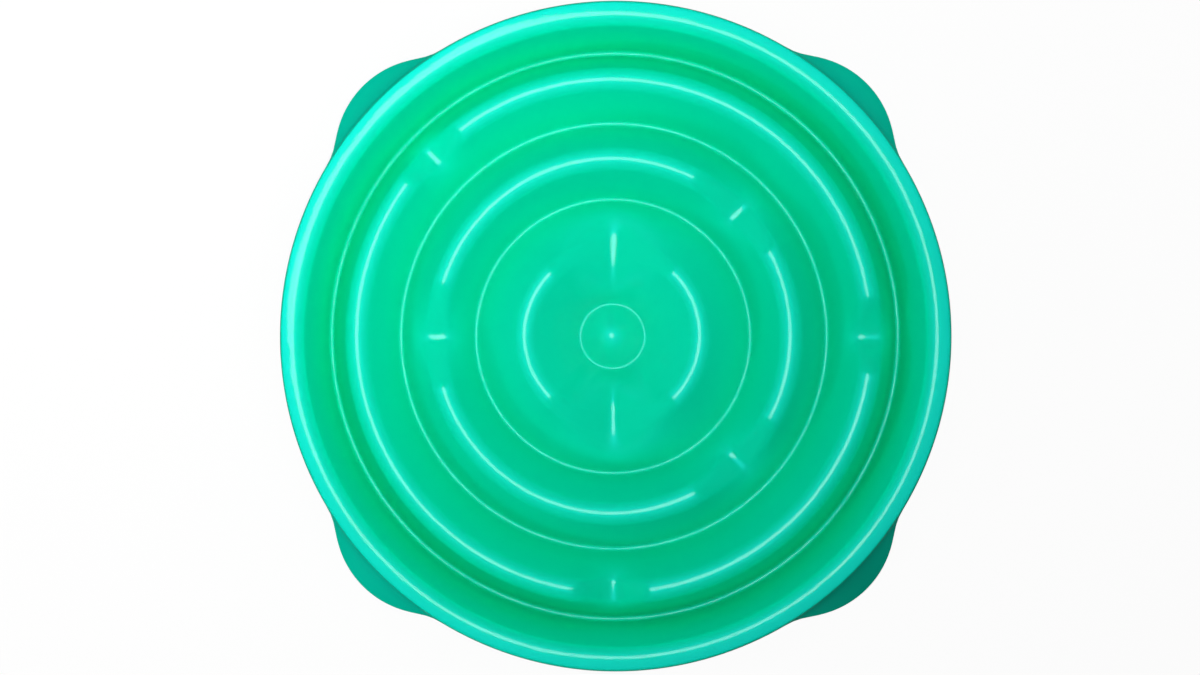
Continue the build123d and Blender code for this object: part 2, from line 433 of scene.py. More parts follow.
def tray_bends(sizes):
    """Crests and channels of the tray from its middle to the rim."""
    ridge_z = sizes.height - sizes.ridge_drop
    channel_z = ridge_z - sizes.ridge_height
    bends = [crest(0.0, channel_z + sizes.peak_height, sizes.peak_bend)]
    for channel_radius, ridge_radius in (
        (sizes.centre_ring_radius, sizes.inner_ridge_radius),
        (sizes.inner_channel_radius, sizes.middle_ridge_radius),
        (sizes.middle_channel_radius, sizes.outer_ridge_radius),
    ):
        bends.append(channel(channel_radius, channel_z, sizes.channel_bend))
        bends.append(crest(ridge_radius, ridge_z, sizes.ridge_bend))
    bends.append(channel(sizes.outer_channel_radius, channel_z, sizes.channel_bend))
    bends.append(crest(sizes.rim_crest_radius, sizes.height, sizes.rim_bend))
    return bends


def bowl_section(sizes):
    """Closed section of the bowl: over the tray, round the rim, down the skirt and back below."""
    bends = tray_bends(sizes)
    top = ripple(bends, 0.0, *TOP_STEPS)
    below = ripple(bends, sizes.wall, *BELOW_STEPS)
    lip_centre = (sizes.rim_crest_radius, sizes.height - sizes.lip_bend)
    lip_z = lip_centre[1] + math.sqrt(sizes.lip_bend**2 - (sizes.rim_radius - lip_centre[0]) ** 2)
    lean = math.atan2(sizes.base_radius - sizes.rim_radius, lip_z - sizes.skirt_lift)

    def skirt_point(height, inset):
        """Point of the skirt at a height, sunk by the inset."""
        drawn_in = inset / math.cos(lean) + (height - sizes.skirt_lift) * math.tan(lean)
        return sizes.base_radius - drawn_in, height

    edge = sizes.lip_edge_bend
    edge_z = lip_z
    for _ in range(EDGE_ROUNDS):
        edge_centre = skirt_point(edge_z, edge)
        reach = math.dist(edge_centre, lip_centre)
        edge_z -= reach - (sizes.lip_bend - edge)
    edge_turn = math.atan2(edge_centre[1] - lip_centre[1], edge_centre[0] - lip_centre[0])
    lip = arc(lip_centre, sizes.lip_bend, math.pi / 2, edge_turn, LIP_STEPS)[1:]
    lip += arc(edge_centre, edge, edge_turn, lean, LIP_EDGE_STEPS)[1:]

    foot = sizes.foot_edge_bend
    outer_foot = skirt_point(sizes.skirt_lift + foot, foot)
    outer_run = arc(outer_foot, foot, lean, -math.pi / 2, FOOT_EDGE_STEPS)
    inner_foot = skirt_point(sizes.skirt_lift + foot, sizes.wall - foot)
    inner_run = arc(inner_foot, foot, -math.pi / 2, lean - math.pi, FOOT_EDGE_STEPS)
    inner_top = skirt_point(lip_z - sizes.wall, sizes.wall)
    inner_bend = sizes.lip_bend - sizes.wall
    inner_turn = math.acos((inner_top[0] - lip_centre[0]) / inner_bend)
    inner_lip = arc(lip_centre, inner_bend, inner_turn, math.pi / 2, INNER_LIP_STEPS)[:-1]
    skirt = line(lip[-1], outer_run[0], SKIRT_STEPS) + outer_run + inner_run
    skirt += line(inner_run[-1], inner_top, INNER_SKIRT_STEPS) + [inner_top]

    rows = [(r, z, 0.0, 0.0) for r, z in top + lip]
    rows += [(r, z, 1.0, 0.0) for r, z in skirt]
    rows += [(r, z, 0.0, sizes.wall) for r, z in inner_lip + below[::-1]]
    return rows, math.tan(lean)


def gap_height_tree():
    """Node group: height of a rounded gap at a distance across it."""
    labels = ("Across", "Half Width", "Floor", "Crest", "Floor Bend", "Shoulder Bend", "Flank Angle")
    tree = bpy.data.node_groups.new("Gap Height", "GeometryNodeTree")
    for label in labels:
        tree.interface.new_socket(name=label, in_out="INPUT", socket_type="NodeSocketFloat")
    tree.interface.new_socket(name="Height", in_out="OUTPUT", socket_type="NodeSocketFloat")
    given = tree.nodes.new("NodeGroupInput")
    fields = [Field(tree, given.outputs[label]) for label in labels]
    across, half, floor, top, low_bend, high_bend, angle = fields
    across = across.run("ABSOLUTE")
    rise = angle.run("SINE")
    floor_arc = floor + low_bend - (low_bend.squared() - across.squared()).root()
    flank_start = low_bend * rise
    flank = floor + low_bend - low_bend * angle.run("COSINE") + (across - flank_start) * angle.run("TANGENT")
    aside = half - across
    shoulder = top - high_bend + (high_bend.squared() - aside.squared()).root()
    beyond = top + aside.squared() / high_bend
    height = choose(tree, across.run("LESS_THAN", half), beyond, shoulder)
    height = choose(tree, across.run("LESS_THAN", half - high_bend * rise), height, flank)
    height = choose(tree, across.run("LESS_THAN", flank_start), height, floor_arc)
    feed(tree, tree.nodes.new("NodeGroupOutput").inputs["Height"], height)
    return tree


def choose(tree, test, no, yes):
    """One of two numbers, by a test."""
    node = add_node(tree, "GeometryNodeSwitch", input_type="FLOAT")
    for socket, value in zip(node.inputs, (test, no, yes)):
        feed(tree, socket, value)
    return Field(tree, node.outputs[0])


def spun_grid(tree, section, rows, steps):
    """Grid to be spun from a section, with each point's radius, height, angle and marks."""
    grid = add_node(tree, "GeometryNodeMeshGrid", {"Size X": 1.0, "Size Y": 1.0})
    feed(tree, grid.inputs["Vertices X"], rows)
    feed(tree, grid.inputs["Vertices Y"], steps)
    position = tree.nodes.new("GeometryNodeInputPosition").outputs[0]
    place = add_node(tree, "ShaderNodeSeparateXYZ", {0: position})
    row = ((Field(tree, place.outputs["X"]) + 0.5) * (Field(tree, rows) - 1.0)).run("ROUND")
    angle = (Field(tree, place.outputs["Y"]) + 0.5) * math.tau
    points = add_node(tree, "GeometryNodeObjectInfo", {"Object": section}, transform_space="ORIGINAL")

    def sampled(kind, source):
        """A value of the section's point in this row."""
        node = add_node(tree, "GeometryNodeSampleIndex", data_type=kind, domain="POINT")
        for key, value in (("Geometry", points.outputs["Geometry"]), ("Value", source), ("Index", row)):
            feed(tree, node.inputs[key], value)
        return node.outputs[0]

    spot = sampled("FLOAT_VECTOR", position)
    parts = add_node(tree, "ShaderNodeSeparateXYZ", {0: spot})
    marks = []
    for mark in ("skirt", "inset"):
        named = add_node(tree, "GeometryNodeInputNamedAttribute", {"Name": mark}, data_type="FLOAT")
        marks.append(Field(tree, sampled("FLOAT", named.outputs["Attribute"])))
    return grid, Field(tree, parts.outputs["X"]), Field(tree, parts.outputs["Z"]), angle, *marks


def spun_mesh(tree, grid, radius, height, angle):
    """Grid bent round the axis, with its seam and its middle closed."""
    spot = add_node(tree, "ShaderNodeCombineXYZ")
    for place, value in zip(spot.inputs, (radius * angle.run("COSINE"), radius * angle.run("SINE"), height)):
        feed(tree, place, value)
    bent = add_node(tree, "GeometryNodeSetPosition", {"Geometry": grid.outputs["Mesh"]})
    feed(tree, bent.inputs["Position"], spot.outputs[0])
    closed = add_node(tree, "GeometryNodeMergeByDistance", {"Geometry": bent.outputs[0]})
    feed(tree, closed.inputs["Distance"], MERGE_DISTANCE)
    smooth = add_node(tree, "GeometryNodeSetShadeSmooth", {"Geometry": closed.outputs[0]})
    return smooth.outputs[0]


def finish_tree(tree, output, meshes, material):
    """Join the meshes, make them real and give them their material."""
    joined = tree.nodes.new("GeometryNodeJoinGeometry")
    for mesh in meshes:
        tree.links.new(mesh, joined.inputs[0])
    real = add_node(tree, "GeometryNodeRealizeInstances", {"Geometry": joined.outputs[0]})
    coated = add_node(tree, "GeometryNodeSetMaterial", {"Geometry": real.outputs[0], "Material": material})
    feed(tree, output.inputs["Geometry"], coated.outputs[0])


def moved(tree, mesh, way):
    """Mesh moved by a vector."""
    node = add_node(tree, "GeometryNodeTransform", {"Geometry": mesh, "Translation": way})
    return node.outputs[0]


def near_gap(angle, directions):
    """Angle to the nearest of the gap directions."""
    nearest = None
    for direction in directions:
        away = (angle - direction).run("WRAP", math.pi, -math.pi).run("ABSOLUTE")
        nearest = away if nearest is None else nearest.run("MINIMUM", away)
    return nearest



def bowl_tree():
    """Geometry tree of the bowl: a spun section, gaps cut in its ridges, lobes grown on its skirt."""
    inputs = {"Section": "Object", "Rows": "Int", "Steps Around": "Int", "Step Crowding": "Float"}
    for ridge, directions in RIDGES.items():
        for label in RIDGE_SIZES:
            inputs[f"{ridge} {label}"] = "Float"
        for number in range(len(directions)):
            inputs[f"{ridge} Gap Direction {number + 1}"] = "Float"
    ridge_labels = ("Ridge Crest", "Ridge Foot", "Gap Floor Bend", "Gap Shoulder Bend")
    skirt_labels = ("Base Radius", "Skirt Lift", "Skirt Slope")
    lobe_labels = ("Lobe Centre", "Lobe Radius", "Lobe Slope", "Lobe Blend")
    for label in ridge_labels + skirt_labels + lobe_labels:
        inputs[label] = "Float"
    inputs.update({"Boss": "Object", "Boss Count": "Int", "Material": "Material"})
    tree, given, output = new_tree("Rippled Bowl", inputs)
    size = {label: Field(tree, given.outputs[label]) for label in inputs}

    grid, radius, height, angle, skirt, inset = spun_grid(
        tree, given.outputs["Section"], given.outputs["Rows"], given.outputs["Steps Around"]
    )
    gathered = (angle * CROWDED_DIRECTIONS).run("SINE") * size["Step Crowding"]
    angle = angle - gathered / CROWDED_DIRECTIONS

    up = height - size["Skirt Lift"]
    sunk = size["Base Radius"] - up * size["Skirt Slope"] - radius
    lobe = size["Lobe Radius"] - sunk - up * size["Lobe Slope"]
    lobe_step = math.tau / len(FOOT_ANGLES)
    aside = angle.run("WRAP", lobe_step, 0.0) - lobe_step / 2
    off = size["Lobe Centre"] * aside.run("SINE")
    reach = size["Lobe Centre"] * aside.run("COSINE") + (lobe.squared() - off.squared()).root()
    grown = radius.run("SMOOTH_MAX", reach, size["Lobe Blend"])
    radius = choose(tree, skirt, radius, grown)

    gap_height = gap_height_tree()
    for ridge, directions in RIDGES.items():
        marks = [size[f"{ridge} Gap Direction {number + 1}"] for number in range(len(directions))]
        across = size[f"{ridge} Ridge Radius"] * near_gap(angle, marks).run("SINE")
        gap = add_node(tree, "GeometryNodeGroup", node_tree=gap_height)
        for label, value in (
            ("Across", across),
            ("Half Width", size[f"{ridge} Gap Half Width"]),
            ("Floor", size[f"{ridge} Gap Floor"]),
            ("Crest", size["Ridge Crest"]),
            ("Floor Bend", size["Gap Floor Bend"]),
            ("Shoulder Bend", size["Gap Shoulder Bend"]),
            ("Flank Angle", size[f"{ridge} Gap Flank Angle"]),
        ):
            feed(tree, gap.inputs[label], value)
        full = size["Ridge Crest"] - size["Ridge Foot"]
        foot = size["Ridge Foot"] - inset
        kept = ((Field(tree, gap.outputs["Height"]) - size["Ridge Foot"]) / full).run("MINIMUM", 1.0)
        lost = (size["Ridge Crest"] - size[f"{ridge} Gap Floor"]) / full
        sunk = (kept * -1.0 + 1.0) / lost
        power = size[f"{ridge} Gap Flatness"] * sunk * sunk + 1.0
        below_crest = ((height - foot) / full * -1.0 + 1.0).run("MAXIMUM", 0.0)
        cut = foot + full * kept * (below_crest.run("POWER", power) * -1.0 + 1.0)
        past_start = size[f"{ridge} Gap Start"].run("LESS_THAN", radius)
        before_end = radius.run("LESS_THAN", size[f"{ridge} Gap End"])
        height = choose(tree, past_start * before_end, height, cut)

    bowl = spun_mesh(tree, grid, radius, height, angle)
    boss = add_node(tree, "GeometryNodeObjectInfo", transform_space="ORIGINAL")
    feed(tree, boss.inputs["Object"], given.outputs["Boss"])
    spots = add_node(tree, "GeometryNodePoints", {"Count": given.outputs["Boss Count"]})
    number = Field(tree, tree.nodes.new("GeometryNodeInputIndex").outputs[0])
    spin = add_node(tree, "ShaderNodeCombineXYZ", {"Z": (number + 0.5) * math.tau / size["Boss Count"]})
    bosses = add_node(
        tree,
        "GeometryNodeInstanceOnPoints",
        {"Points": spots.outputs[0], "Instance": boss.outputs["Geometry"], "Rotation": spin.outputs[0]},
    )
    finish_tree(tree, output, (bowl, bosses.outputs[0]), given.outputs["Material"])
    return tree


def prism(builder, outline, thickness, turned):
    """Flat plate with its outline in an upright plane, centred on that plane."""
    rings = []
    for side in (-thickness / 2, thickness / 2):
        spots = [(side, along, up) if turned else (along, side, up) for along, up in outline]
        rings.append([builder.verts.new(spot) for spot in spots])
    total = len(outline)
    for number in range(total):
        after = (number + 1) % total
        builder.faces.new((rings[0][number], rings[0][after], rings[1][after], rings[1][number]))
    builder.faces.new(rings[0][::-1])
    builder.faces.new(rings[1])


def tray_height(points, radius):
    """Height of the tray's section at a radius."""
    for (r, z), (next_r, next_z) in zip(points, points[1:]):
        if r <= radius <= next_r:
            return z + (next_z - z) * (radius - r) / (next_r - r)
    raise ValueError("The tray does not reach that far")


def ring_faces(builder, outline, centre, steps, ceiling):
    """Closed ring spun from an outline of radius and height, held below a ceiling."""
    rings = []
    for number in range(steps):
        angle = math.tau * number / steps
        spots = [(centre + r * math.cos(angle), r * math.sin(angle), z) for r, z in outline]
        rings.append([builder.verts.new((x, y, min(z, ceiling(math.hypot(x, y))))) for x, y, z in spots])
    for number in range(steps):
        here, there = rings[number], rings[(number + 1) % steps]
        for low in range(len(outline)):
            high = (low + 1) % len(outline)
            builder.faces.new((here[low], there[low], there[high], here[high]))


def boss_object(sizes, foot_sizes):
    """One post with its socket and its ribs, set out along the X axis."""
    builder = bmesh.new()
    centre = sizes.outer_channel_radius
    bottom = foot_sizes.pad_height
    bend = sizes.rib_thickness / 4
    depth = bottom + sizes.socket_depth
    hole, post = sizes.socket_radius, sizes.boss_radius
    outline = [(hole, depth), (hole, bottom + bend), (hole + bend, bottom)]
    outline += [(post - bend, bottom), (post, bottom + bend), (post, sizes.boss_top)]
    outline += [(BOSS_CORE, sizes.boss_top), (BOSS_CORE, depth)]
    tray = ripple(tray_bends(sizes), sizes.wall / 2, *BELOW_STEPS)
    ring_faces(builder, outline, centre, BOSS_STEPS, lambda radius: tray_height(tray, radius))

    def lobe_reach(height, aside):
        """Distance from the lobe's middle to the inside of its wall."""
        drawn_in = (height - sizes.skirt_lift) * math.tan(sizes.lobe_lean)
        radius = sizes.lobe_radius - drawn_in - sizes.wall / 2
        return math.sqrt(radius**2 - aside**2)

    aside = centre - sizes.lobe_centre
    low, high = sizes.rib_bottom, sizes.rib_top
    inside_post = (hole + post) / 2
    start = centre + inside_post
    outward = [(start, low), (sizes.lobe_centre + lobe_reach(low, 0.0), low)]
    outward += [(sizes.lobe_centre + lobe_reach(high, 0.0), high), (start, high)]
    prism(builder, outward, sizes.rib_thickness, False)
    for side in (-1.0, 1.0):
        near = side * inside_post
        along = [(near, low), (side * lobe_reach(low, aside), low)]
        along += [(side * lobe_reach(high, aside), high), (near, high)]
        before = set(builder.verts)
        prism(builder, along, sizes.rib_thickness, True)
        for vert in set(builder.verts) - before:
            vert.co.x += centre
    bmesh.ops.recalc_face_normals(builder, faces=builder.faces)
    mesh = bpy.data.meshes.new("boss")
    builder.to_mesh(mesh)
    builder.free()
    boss = bpy.data.objects.new("boss", mesh)
    bpy.context.scene.collection.objects.link(boss)
    return boss


def foot_section(sizes, socket_radius):
    """Section of a rubber foot from below its middle round to the end of its stem."""
    groove_in = sizes.groove_radius - sizes.groove_width / 2
    groove_out = sizes.groove_radius + sizes.groove_width / 2
    soft = sizes.groove_depth / 4
    edge = sizes.pad_edge_bend
    stem = socket_radius - sizes.fit_clearance
    top = sizes.pad_height + sizes.stem_height
    points = [(0.0, 0.0), (groove_in - soft, 0.0), (groove_in, soft), (groove_in, sizes.groove_depth)]
    points += [(groove_out, sizes.groove_depth), (groove_out, soft), (groove_out + soft, 0.0)]
    points += arc((sizes.pad_radius - edge, edge), edge, -math.pi / 2, 0.0, PAD_EDGE_STEPS)
    points += [(sizes.pad_radius, sizes.pad_height - soft), (sizes.pad_radius - soft, sizes.pad_height)]
    points += [(stem, sizes.pad_height), (stem, top - sizes.stem_bend)]
    points += [(stem - sizes.stem_bend, top), (0.0, top)]
    return points


def foot_tree():
    """Geometry tree of one rubber foot: a spun pad and stem, with grip studs in its groove."""
    inputs = {"Section": "Object", "Rows": "Int", "Steps Around": "Int", "Stud Count": "Int"}
    inputs.update({"Stud Radius": "Float", "Stud Ring": "Float", "Stud Height": "Float", "Distance": "Float"})
    inputs.update({"Direction": "Float", "Material": "Material"})
    tree, given, output = new_tree("Rubber Foot", inputs)
    size = {label: Field(tree, given.outputs[label]) for label in inputs}
    grid, radius, height, angle, _, _ = spun_grid(
        tree, given.outputs["Section"], given.outputs["Rows"], given.outputs["Steps Around"]
    )
    foot = add_node(tree, "GeometryNodeFlipFaces", {0: spun_mesh(tree, grid, radius, height, angle * -1.0)})
    ring = add_node(
        tree,
        "GeometryNodeMeshCircle",
        {"Vertices": given.outputs["Stud Count"], "Radius": given.outputs["Stud Ring"]},
    )
    stud = add_node(tree, "GeometryNodeMeshIcoSphere", {"Radius": given.outputs["Stud Radius"]})
    feed(tree, stud.inputs["Subdivisions"], STUD_SUBDIVISIONS)
    lift = add_node(tree, "ShaderNodeCombineXYZ", {"Z": given.outputs["Stud Height"]})
    raised = moved(tree, ring.outputs[0], lift.outputs[0])
    studs = add_node(
        tree, "GeometryNodeInstanceOnPoints", {"Points": raised, "Instance": stud.outputs["Mesh"]}
    )
    joined = tree.nodes.new("GeometryNodeJoinGeometry")
    for mesh in (foot.outputs[0], studs.outputs[0]):
        tree.links.new(mesh, joined.inputs[0])
    spot = add_node(tree, "ShaderNodeCombineXYZ")
    feed(tree, spot.inputs["X"], size["Distance"] * size["Direction"].run("COSINE"))
    feed(tree, spot.inputs["Y"], size["Distance"] * size["Direction"].run("SINE"))
    placed = moved(tree, joined.outputs[0], spot.outputs[0])
    finish_tree(tree, output, (placed,), given.outputs["Material"])
    return tree


def new_material(name):
    """Empty node material with its shader and output."""
    material = bpy.data.materials.new(name)
    material.use_nodes = True
    tree = material.node_tree
    tree.nodes.clear()
    output = tree.nodes.new("ShaderNodeOutputMaterial")
    shader = tree.nodes.new("ShaderNodeBsdfPrincipled")
    tree.links.new(shader.outputs[0], output.inputs["Surface"])
    return material, tree, shader


def noise(tree, vector, scale, detail=2.0, roughness=0.5):
    """Noise field at a scale in features per metre."""
    node = add_node(tree, "ShaderNodeTexNoise", {"Vector": vector, "Scale": scale})
    node.inputs["Detail"].default_value = detail
    node.inputs["Roughness"].default_value = roughness
    return Field(tree, node.outputs[0])


def spread(tree, value, low, high, to_low, to_high):
    """Number moved from one range to another, held at the ends."""
    node = tree.nodes.new("ShaderNodeMapRange")
    for place, number in zip(node.inputs, (value, low, high, to_low, to_high)):
        feed(tree, place, number)
    return Field(tree, node.outputs[0])


def hair_scratches(tree, where):
    """Sets of fine scratches in several directions."""
    scratches = None
    for degrees, seed in SCRATCH_SETS:
        turned = add_node(tree, "ShaderNodeMapping", {"Vector": where})
        turned.inputs["Location"].default_value = (seed, seed, seed)
        turned.inputs["Rotation"].default_value = (0.0, 0.0, math.radians(degrees))
        turned.inputs["Scale"].default_value = SCRATCH_SCALE
        hair = spread(tree, noise(tree, turned.outputs[0], 1.0, 1.0), 0.70, 0.78, 0.0, 1.0)
        scratches = hair if scratches is None else scratches.run("MAXIMUM", hair)
    return scratches


def flow_bands(tree, x, y, z, radius, scale):
    """Bands round the axis, as plastic leaves them when it flows into the mould."""
    angle = y.run("ARCTAN2", x)
    around = add_node(tree, "ShaderNodeCombineXYZ")
    bands_per_radian = 3.0
    for place, value in zip(around.inputs, (radius * scale, angle * bands_per_radian, z * scale)):
        feed(tree, place, value)
    return noise(tree, around.outputs[0], 1.0, 3.0)


def moulded_plastic(look, sizes):
    """Satin moulded plastic: faint flow bands, fine waviness, hair scratches, a polished top and painted
    light on its flanks.
    """
    material, tree, shader = new_material("moulded_teal_plastic")
    coordinates = tree.nodes.new("ShaderNodeTexCoord")
    where = coordinates.outputs["Object"]
    parts = add_node(tree, "ShaderNodeSeparateXYZ", {0: where})
    x, y, z = [Field(tree, socket) for socket in parts.outputs]
    radius = (x * x + y * y).root()
    flow = flow_bands(tree, x, y, z, radius, look.flow_scale)
    cloud = noise(tree, where, look.cloud_scale, 3.0)
    flow_share = 0.35
    tone = flow * flow_share + cloud * (1.0 - flow_share)
    facing = add_node(tree, "ShaderNodeSeparateXYZ", {0: coordinates.outputs["Normal"]})
    upward = facing.outputs["Z"]

    # Colour: painted light makes steep flanks lighter than level places, less so near the channel floors and
    # inside the outer ridge, with a random tone on top; the inside and the skirt take different colours, the
    # inside's less blue as painted green bounce light in the bowl
    inside = spread(tree, radius, sizes.rim_crest_radius, sizes.rim_radius, 1.0, 0.0)
    steep = spread(tree, upward, 0.5, 0.95, 1.0, 0.0) * inside
    channel_z = sizes.height - sizes.ridge_drop - sizes.ridge_height
    channel_edge = channel_z + 0.002
    open_flank = channel_z + 0.010
    raised = spread(tree, z, channel_edge, open_flank, 0.4, 1.0)
    outer_wall = spread(tree, radius, sizes.outer_ridge_radius, sizes.outer_channel_radius, 0.35, 1.0)
    tone_range = 0.1
    # Painted light: share of the lighter flank colour by slope, height above the channels and radius, plus
    # the random tone
    painted_flank_light = steep * raised * outer_wall + tone * tone_range - tone_range / 2
    tray = add_node(tree, "ShaderNodeMix", {0: painted_flank_light}, data_type="RGBA")
    tray.inputs[6].default_value = (*look.plastic, 1.0)
    tray.inputs[7].default_value = (*look.flank_painted_light, 1.0)
    # Painted shade: inside the rim the tray colours, less blue than the skirt's, stand in for green bounce
    # light
    whole = add_node(tree, "ShaderNodeMix", {0: inside, 7: tray.outputs[2]}, data_type="RGBA")
    whole.inputs[6].default_value = (*look.skirt_plastic, 1.0)
    feed(tree, shader.inputs["Base Color"], whole.outputs[2])

    # Gloss: a sheen stretched by the turned mould under a sharp polish, both weak outside
    lip_start = sizes.rim_radius - sizes.lip_edge_bend
    polished = spread(tree, radius, lip_start, sizes.rim_radius, 1.0, look.outside_gloss)
    polished = polished * spread(tree, upward, 0.4, 0.75, 0.15, 1.0)
    feed(tree, shader.inputs["Specular IOR Level"], polished * look.sheen)
    shader.inputs["Specular Tint"].default_value = (*look.sheen_tint, 1.0)
    rings = add_node(tree, "ShaderNodeTangent", direction_type="RADIAL", axis="Z")
    feed(tree, shader.inputs["Tangent"], rings.outputs[0])
    shader.inputs["Anisotropic"].default_value = look.turning
    quarter_turn = 0.25
    shader.inputs["Anisotropic Rotation"].default_value = quarter_turn
    scratches = hair_scratches(tree, where)
    grain = noise(tree, where, look.grain_scale, 2.0)
    unevenness = 0.03
    smooth = look.plastic_roughness - unevenness
    rough = look.plastic_roughness + unevenness
    gloss = spread(tree, cloud, 0.3, 0.7, smooth, rough)
    feed(tree, shader.inputs["Roughness"], gloss + grain * 0.04 + scratches * 0.10)
    feed(tree, shader.inputs["Coat Weight"], polished * look.polish)
    shader.inputs["Coat Roughness"].default_value = look.polish_roughness
    shader.inputs["IOR"].default_value = look.refraction

    # Relief: waves of the moulding, flow bands, grain and scratches
    waves = noise(tree, where, look.wave_scale, 2.0)
    surface = waves + flow * 0.10 + grain * 0.03 - scratches * 0.05
    fine_relief(tree, shader, surface, look, ("Normal", "Coat Normal"))
    return material


def fine_relief(tree, shader, surface, look, sockets):
    """Bump from a height field, on the named sockets of the shader."""
    bump = add_node(tree, "ShaderNodeBump", {"Height": surface})
    bump.inputs["Strength"].default_value = look.relief_strength
    bump.inputs["Distance"].default_value = look.relief
    for socket in sockets:
        feed(tree, shader.inputs[socket], bump.outputs[0])


def soft_rubber(look):
    """Matte rubber with fine pores and a dusty bloom."""
    material, tree, shader = new_material("soft_black_rubber")
    where = tree.nodes.new("ShaderNodeTexCoord").outputs["Object"]
    pores = noise(tree, where, look.pore_scale, 3.0, 0.6)
    bloom = noise(tree, where, look.bloom_scale, 4.0)
    dusty = spread(tree, bloom, 0.35, 0.75, 0.0, 1.0)
    mix = add_node(tree, "ShaderNodeMix", {0: dusty}, data_type="RGBA")
    mix.inputs[6].default_value = (*look.rubber, 1.0)
    mix.inputs[7].default_value = (*[value * 1.8 + 0.004 for value in look.rubber], 1.0)
    feed(tree, shader.inputs["Base Color"], mix.outputs[2])
    feed(tree, shader.inputs["Roughness"], spread(tree, pores, 0.3, 0.7, 0.68, 0.88))
    fine_relief(tree, shader, pores, look, ("Normal",))
    return material


class FEEDER_OT_mould_bowl(bpy.types.Operator):
    """Mould the rippled bowl with its rim, skirt, foot lobes and bosses"""

    bl_idname = "feeder.mould_bowl"
    bl_label = "Mould Bowl"

    def execute(self, context):
        sizes = context.scene.feeder_bowl
        rows, skirt_slope = bowl_section(sizes)
        section = section_object("bowl_section", rows)
        boss = boss_object(sizes, context.scene.feeder_feet)
        ridge_z = sizes.height - sizes.ridge_drop
        values = {
            "Section": section,
            "Rows": len(rows),
            "Steps Around": sizes.steps_around + 1,
            "Step Crowding": sizes.step_crowding,
            "Ridge Crest": ridge_z,
            "Ridge Foot": ridge_z - sizes.ridge_height,
            "Gap Floor Bend": sizes.gap_floor_bend,
            "Gap Shoulder Bend": sizes.gap_shoulder_bend,
            "Base Radius": sizes.base_radius,
            "Skirt Lift": sizes.skirt_lift,
            "Skirt Slope": skirt_slope,
            "Lobe Centre": sizes.lobe_centre,
            "Lobe Radius": sizes.lobe_radius,
            "Lobe Slope": math.tan(sizes.lobe_lean),
            "Lobe Blend": sizes.lobe_blend,
            "Boss": boss,
            "Boss Count": len(FOOT_ANGLES),
            "Material": moulded_plastic(context.scene.feeder_finishes, sizes),
        }
        spans = {
            "Outer": (sizes.middle_channel_radius, sizes.outer_channel_radius),
            "Middle": (sizes.inner_channel_radius, sizes.middle_channel_radius),
            "Inner": (sizes.centre_ring_radius, sizes.inner_channel_radius),
        }
        for ridge, directions in RIDGES.items():
            prefix = ridge.lower()
            half = getattr(sizes, f"{prefix}_gap_half_width")
            floor = ridge_z - getattr(sizes, f"{prefix}_gap_depth")
            flatness = getattr(sizes, f"{prefix}_gap_flatness")
            ridge_radius = getattr(sizes, f"{prefix}_ridge_radius")
            shoulder = crest(half, ridge_z, sizes.gap_shoulder_bend)
            valley = channel(0.0, floor, sizes.gap_floor_bend)
            slope = flank_angle(valley, shoulder) % math.tau - math.pi / 2
            numbers = (half, floor, slope, flatness, *spans[ridge], ridge_radius)
            for label, number in zip(RIDGE_SIZES, numbers):
                values[f"{ridge} {label}"] = number
            for number, direction in enumerate(directions):
                values[f"{ridge} Gap Direction {number + 1}"] = math.radians(direction)
        bowl = grow("bowl", bowl_tree(), values)
        for helper in (section, boss):
            bpy.data.objects.remove(helper)
        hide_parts("bowl_shell")
        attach(bowl, "root")
        return {"FINISHED"}


class FEEDER_OT_press_feet(bpy.types.Operator):
    """Press a rubber foot into the socket under each lobe"""

    bl_idname = "feeder.press_feet"
    bl_label = "Press In Feet"

    def execute(self, context):
        bowl = context.scene.feeder_bowl
        sizes = context.scene.feeder_feet
        points = foot_section(sizes, bowl.socket_radius)
        section = section_object("foot_section", points)
        tree = foot_tree()
        rubber = soft_rubber(context.scene.feeder_finishes)
        for node, degrees in FOOT_ANGLES.items():
            values = {
                "Section": section,
                "Rows": len(points),
                "Steps Around": sizes.steps_around + 1,
                "Stud Count": sizes.stud_count,
                "Stud Radius": sizes.stud_radius,
                "Stud Ring": sizes.groove_radius,
                "Stud Height": sizes.groove_depth,
                "Distance": bowl.outer_channel_radius,
                "Direction": math.radians(degrees),
                "Material": rubber,
            }
            foot = grow(node + "_rubber", tree, values)
            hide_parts(node)
            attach(foot, "root")
        bpy.data.objects.remove(section)
        return {"FINISHED"}


def floor_material(studio):
    """Floor that looks white to the camera, stays dark to the bowl and keeps a faint shadow."""
    material, tree, shader = new_material("studio_floor")
    shader.inputs["Roughness"].default_value = 0.9
    shader.inputs["Specular IOR Level"].default_value = 0.1
    glow = add_node(tree, "ShaderNodeEmission", {"Color": WHITE, "Strength": 1.0})
    path = tree.nodes.new("ShaderNodeLightPath")
    seen = Field(tree, path.outputs["Is Camera Ray"])
    pale = 0.9
    feed(tree, shader.inputs["Base Color"], spread(tree, seen, 0.0, 1.0, studio.floor_tone, pale))
    for kind in ("Is Glossy Ray", "Is Transmission Ray"):
        seen = seen.run("MAXIMUM", path.outputs[kind])
    mix = tree.nodes.new("ShaderNodeMixShader")
    for place, value in zip(mix.inputs, (seen * studio.floor_white, shader.outputs[0], glow.outputs[0])):
        feed(tree, place, value)
    output = next(node for node in tree.nodes if node.type == "OUTPUT_MATERIAL")
    feed(tree, output.inputs["Surface"], mix.outputs[0])
    return material


def plate(name, corners, material):
    """Flat plate with four corners."""
    mesh = bpy.data.meshes.new(name)
    mesh.from_pydata(corners, [], [(0, 1, 2, 3)])
    mesh.materials.append(material)
    flat = bpy.data.objects.new(name, mesh)
    bpy.context.scene.collection.objects.link(flat)
    return flat


def lay_floor(studio):
    """Wide floor under the bowl."""
    side = studio.floor_side
    corners = [(-side, -side, 0.0), (side, -side, 0.0), (side, side, 0.0), (-side, side, 0.0)]
    return plate("floor", corners, floor_material(studio))


